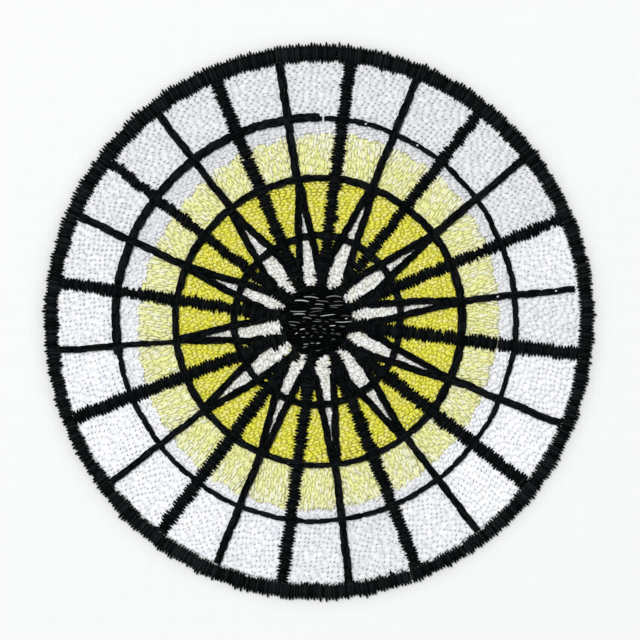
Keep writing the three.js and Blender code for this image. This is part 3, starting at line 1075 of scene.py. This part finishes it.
class EMBROIDERY_OT_rings(bpy.types.Operator):
    """Add the three rings of running stitch."""

    bl_idname = "embroidery.rings"
    bl_label = "Rings"

    def execute(self, context):
        for number, (node, style) in enumerate(RING_STYLES.items()):
            rng, stitches = begin(40 + number)
            centre, inner, outer = circle_of(node)
            radius = (inner + outer) / 2
            start = math.radians(style.start)
            widths = style.widths or ((outer - inner) / MM + INNER_RING_EXTRA,)

            def width_at(distance):
                return at_angle(start + distance / radius, widths)

            path = round_path(centre, radius, style.start, style.start + 360, style.strays)
            sew_running(stitches, path, width_at, style.strands, rng, overrun=style.overrun)
            if node == "outer_ring":
                for angle in OUTER_RING_LOOPS:
                    add_loop(stitches, path[1], (math.radians(angle) - start) % (2 * math.pi) * radius)
                path = round_path(centre, radius, *OUTER_RING_THICK_ARC, style.strays)
                sew_running(stitches, path, lambda _: OUTER_RING_THICK_WIDTH, RUNNING_STRANDS, rng)
            black_piece(node, "stitches", stitches, rng)
        return {"FINISHED"}


class EMBROIDERY_OT_star_outlines(bpy.types.Operator):
    """Add the running line round each ray of the star."""

    bl_idname = "embroidery.star_outlines"
    bl_label = "Star outlines"

    def execute(self, context):
        rings = ring_circles("inner_ring")
        for index in range(RAYS):
            rng, stitches = begin(60 + index)
            for places in ray_sides(index):
                for start, end in zip(places, places[1:]):
                    from_hub = np.linalg.norm(start - HUB)

                    def width_at(distance):
                        return np.interp(from_hub + distance, STAR_LINE_REACH, STAR_LINE_WIDTHS)

                    path = straight_path(start, end)
                    sew_running(
                        stitches, path, width_at, RUNNING_STRANDS, rng, rings, gleam=STAR_PAINTED_SHEEN
                    )
            black_piece(numbered("star_outline", index), "stitches", stitches, rng)
        return {"FINISHED"}


class EMBROIDERY_OT_thin_spokes(bpy.types.Operator):
    """Add the thin spokes of running stitch."""

    bl_idname = "embroidery.thin_spokes"
    bl_label = "Thin spokes"

    def execute(self, context):
        rings = ring_circles("outer_ring")
        for index, widths in enumerate(THIN_SPOKE_WIDTHS):
            node = numbered("thin_spoke", index)
            rng, stitches = begin(80 + index)
            inner, outer, _ = line_of(node)
            length, place = straight_path(inner - unit(outer - inner) * THIN_SPOKE_LAP, outer)

            def width_at(distance):
                return np.interp(distance, (0, length), widths) * MM

            sew_running(stitches, (length, place), width_at, RUNNING_STRANDS, rng, rings)
            for distance in THIN_SPOKE_LOOPS.get(index, ()):
                add_loop(stitches, place, distance * MM - np.linalg.norm(place(0, 0) - HUB))
            black_piece(node, "stitches", stitches, rng)
        return {"FINISHED"}


class EMBROIDERY_OT_thick_spokes(bpy.types.Operator):
    """Add the thick spokes of satin stitch, which fill the room between the rays next to the hub."""

    bl_idname = "embroidery.thick_spokes"
    bl_label = "Thick spokes"

    def execute(self, context):
        rings = ring_circles("outer_ring", "middle_ring", "inner_ring")
        for index, width in enumerate(THICK_SPOKE_WIDTHS):
            node = numbered("thick_spoke", index)
            rng, stitches = begin(100 + index)
            inner, outer, _ = line_of(node)
            along = unit(outer - inner)
            path = straight_path(inner - along * THICK_SPOKE_LAP, outer)
            beside = {}
            for sign, ray in ((1, (index + 1) % RAYS), (-1, index)):
                axis = np.array([(HUB, HUB + ray_axis(ray)[0])])
                beside[sign] = ray_edges(ray), axis, FAN_LAPS[ray] * MM

            def edge_at(distance, sign):
                point = path[1](distance, 0)
                from_hub = np.linalg.norm(point - HUB)
                if from_hub > FAN_REACH:
                    return sign * width * MM / 2
                outline, axis, most_lap = beside[sign]
                lap = np.interp(from_hub, FAN_LAP_REACH, (most_lap + rng.normal(0, 1) * FAN_STRAY, 0))
                direction = sign * sideways(along)
                room = reach_to(axis, point, direction) - FAN_CLEARANCE
                return sign * min(reach_to(outline, point, direction) + lap, room, FAN_MOST)

            def left(distance):
                return edge_at(distance, 1)

            def right(distance):
                return edge_at(distance, -1)

            sew_satin(stitches, path, rng, left, right, rings, SPOKE_SATIN)
            black_piece(node, "satin", stitches, rng, point=SPOKE_SATIN.point)
        return {"FINISHED"}


class EMBROIDERY_OT_hub(bpy.types.Operator):
    """Add the hub, a disc of level stitches with a little bobbin thread drawn up between them."""

    bl_idname = "embroidery.hub"
    bl_label = "Hub"

    def execute(self, context):
        rng, stitches = begin(120)
        thread = settings()
        radius = HUB_RADIUS + HUB_LAP
        for level in np.arange(0.2 * HUB_ROW - radius, radius, HUB_ROW):
            half = math.sqrt(max(radius**2 - level**2, 0))
            between = level + HUB_ROW / 2
            ends = HUB + (-half, between), HUB + (half, between)
            stitches.add(*ends, LINE_CENTRE, 0, HUB_ROW * 1.1, 0.2 * MM)
            count = max(1, round(2 * half / HUB_STITCH))
            holes = np.linspace(-half, half, count + 1)
            holes[1:-1] += either_way(rng, 0.5, count - 1)
            holes[[0, -1]] += either_way(rng, 0.2, 2)
            for a, b in zip(holes, holes[1:]):
                dome = 1 - (math.hypot((a + b) / 2, level) / radius) ** 2
                stitches.add(
                    HUB + (a, level + either_way(rng, 0.05)),
                    HUB + (b, level + either_way(rng, 0.05)),
                    LINE_CENTRE + HUB_DOME * dome,
                    0.08 * MM,
                    thread.width * rng.uniform(1.15, 1.3),
                    SATIN_THICKNESS,
                    bow=either_way(rng, 0.08),
                    shade=HUB_SHADE,
                )
            self.draw_up_bobbin(stitches, rng, between)
        black_piece("hub", "stitches", stitches, rng, rings=7)
        return {"FINISHED"}

    def draw_up_bobbin(self, stitches, rng, level):
        """Short lengths of bobbin thread between two rows, more and longer ones in the upper half."""
        half = math.sqrt(max((HUB_RADIUS - 0.1 * MM) ** 2 - level**2, 0))
        upper = int(level > -0.2 * MM)
        at = -half + rng.uniform(0, 1.2) * MM
        while at < half:
            length = (rng.uniform(0.3, 0.8) + (rng.uniform(0, 1) ** 2) * 1.5 * upper) * MM
            if rng.random() < BOBBIN_SHARES[upper]:
                stitches.add(
                    HUB + (at, level + either_way(rng, 0.14)),
                    HUB + (at + length, level + either_way(rng, 0.14)),
                    LINE_CENTRE + 0.31 * MM,
                    0.02 * MM,
                    rng.uniform(0.08, 0.15) * MM,
                    0.08 * MM,
                    bow=rng.uniform(-0.04, 0.1) * length,
                    shade=rng.uniform(*BOBBIN_SHADES[upper]) ** 2.3,
                    bobbin=1,
                )
            at += length + rng.uniform(0.1, 0.9) * MM


class EMBROIDERY_OT_border(bpy.types.Operator):
    """Add the satin border."""

    bl_idname = "embroidery.border"
    bl_label = "Border"

    def execute(self, context):
        rng, stitches = begin(130)
        low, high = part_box("border")
        _, inner, _ = circle_of("border")
        half_x, half_y = (high.x - low.x) / 2, (high.y - low.y) / 2
        middle = inner + ((half_x + half_y) / 2 - inner) / 2

        def outwards(distance):
            angle = distance / middle
            outer = 1 / math.hypot(math.cos(angle) / half_x, math.sin(angle) / half_y)
            return middle - outer + BORDER_INSET - at_angle(angle, BORDER_OUTER_STRAY)

        def inwards(distance):
            return middle - inner + BORDER_LAP - at_angle(distance / middle, BORDER_INNER_STRAY)

        sew_satin(stitches, round_path(WHEEL, middle), rng, inwards, outwards, (), BORDER_SATIN)
        black_piece("border", "satin", stitches, rng, point=BORDER_SATIN.point)
        return {"FINISHED"}


# The stage in sides of the cloth: the floor, the lamp and its place, and the share of the cloth that the
# camera shows. The lamp's power is in watts, and the lens and the sensor are in mm. The studio's light is
# even and nearly white.
FLOOR_SIDE = 40
FLOOR_COLOUR = 0xE9E9E6
FLOOR_ROUGHNESS = 0.8
LAMP_SIDE = 9
LAMP_PLACE = (-5.4, 5.4, 20)
LAMP_POWER = 21.5
STUDIO_COLOUR = 0xFBFCFF
STUDIO_LIGHT = 0.5
CLOTH_SHOWN = 0.998
LENS = 100
SENSOR = 36


class EMBROIDERY_OT_stage(bpy.types.Operator):
    """Add the floor, the light and the camera, which looks straight down."""

    bl_idname = "embroidery.stage"
    bl_label = "Stage"

    def execute(self, context):
        scene = context.scene
        low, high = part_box("ground_cloth")
        side = high.x - low.x
        bpy.ops.mesh.primitive_plane_add(size=side * FLOOR_SIDE, location=(0, 0, low.z - 0.02 * MM))
        floor = context.object
        floor.name = "studio_floor"
        # An even matt paint, which gives the eye nothing but the object's shadow.
        material, _, shader = plain_material("matt_painted_floor")
        shader.inputs["Base Color"].default_value = (*linear(FLOOR_COLOUR), 1)
        shader.inputs["Roughness"].default_value = FLOOR_ROUGHNESS
        floor.data.materials.append(material)
        world = bpy.data.worlds.new("studio_light")
        world.use_nodes = True
        background = world.node_tree.nodes["Background"]
        background.inputs["Color"].default_value = (*linear(STUDIO_COLOUR), 1)
        background.inputs["Strength"].default_value = STUDIO_LIGHT
        scene.world = world
        lamp = bpy.data.lights.new("soft_box", "AREA")
        lamp.shape = "SQUARE"
        lamp.size = side * LAMP_SIDE
        lamp.energy = LAMP_POWER
        softbox = bpy.data.objects.new("soft_box", lamp)
        softbox.location = [side * place for place in LAMP_PLACE]
        softbox.rotation_euler = (-softbox.location).to_track_quat("-Z", "Y").to_euler()
        scene.collection.objects.link(softbox)
        camera = bpy.data.objects.new("camera", bpy.data.cameras.new("camera"))
        camera.data.lens = LENS
        camera.data.sensor_width = SENSOR
        camera.data.clip_start = 0.01
        camera.location = (0, 0, CLOTH_TOP + side * CLOTH_SHOWN * LENS / SENSOR)
        scene.collection.objects.link(camera)
        scene.camera = camera
        scene.view_settings.view_transform = "Standard"
        return {"FINISHED"}


class EMBROIDERY_PT_panel(bpy.types.Panel):
    """Lists the settings and one button for each piece."""

    bl_idname = "EMBROIDERY_PT_panel"
    bl_label = "Embroidered wheel window"
    bl_space_type = "VIEW_3D"
    bl_region_type = "UI"
    bl_category = "Embroidery"

    def draw(self, context):
        for group_name, kind in GROUPS.items():
            for name in kind.__annotations__:
                self.layout.prop(getattr(context.scene, group_name), name)
        for operator in OPERATORS:
            self.layout.operator(operator.bl_idname)


OPERATORS = (
    EMBROIDERY_OT_stage,
    EMBROIDERY_OT_ground_cloth,
    EMBROIDERY_OT_fills,
    EMBROIDERY_OT_ray_fills,
    EMBROIDERY_OT_rings,
    EMBROIDERY_OT_star_outlines,
    EMBROIDERY_OT_thin_spokes,
    EMBROIDERY_OT_thick_spokes,
    EMBROIDERY_OT_hub,
    EMBROIDERY_OT_border,
)
GROUPS = {
    "embroidery_threads": ThreadSettings,
    "embroidery_cloth": ClothSettings,
    "embroidery_colours": ColourSettings,
}


def register():
    for group in (*GROUPS.values(), *OPERATORS, EMBROIDERY_PT_panel):
        bpy.utils.register_class(group)
    for name, group in GROUPS.items():
        setattr(bpy.types.Scene, name, bpy.props.PointerProperty(type=group))


def unregister():
    for name in GROUPS:
        delattr(bpy.types.Scene, name)
    for group in reversed((*GROUPS.values(), *OPERATORS, EMBROIDERY_PT_panel)):
        bpy.utils.unregister_class(group)


def main():
    register()
    for operator in OPERATORS:
        group, name = operator.bl_idname.split(".")
        getattr(getattr(bpy.ops, group), name)()


if __name__ == "__main__":
    main()
